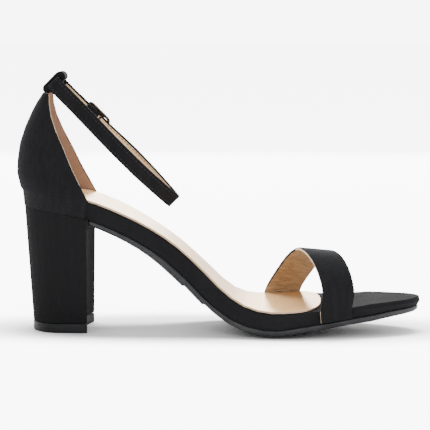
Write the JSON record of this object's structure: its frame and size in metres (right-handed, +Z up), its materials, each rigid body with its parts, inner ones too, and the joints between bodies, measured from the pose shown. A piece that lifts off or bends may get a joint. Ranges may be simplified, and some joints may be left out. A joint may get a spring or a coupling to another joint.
{
  "type": "block heel sandal",
  "caption": "Black suede-like block heel sandal, left shoe: high counter, one oblique toe band, slim ankle strap with a small buckle, glossy beige footbed.",
  "frame": {"origin": "centre of the heel tip's bottom face, on the floor", "axes": "+Z up from the floor, +X from the heel to the toe, +Y to the outer (lateral) side of the left foot"},
  "size_m": [0.2292, 0.0828, 0.1464],
  "materials": {
    "suede": "matt suede-like cloth",
    "rubber": "satin",
    "lining": "gloss",
    "bronze": "dark antique, half gloss"
  },
  "bodies": {
    "root": {"midsole": "suede", "outsole": "rubber", "sock_lining": "lining", "heel_block": "suede", "top_lift": "rubber", "counter": "suede", "back_loop": "suede", "vamp_band": "suede", "ankle_strap": "suede", "buckle_frame": "bronze", "buckle_prong": "bronze"}
  },
  "joints": []
}
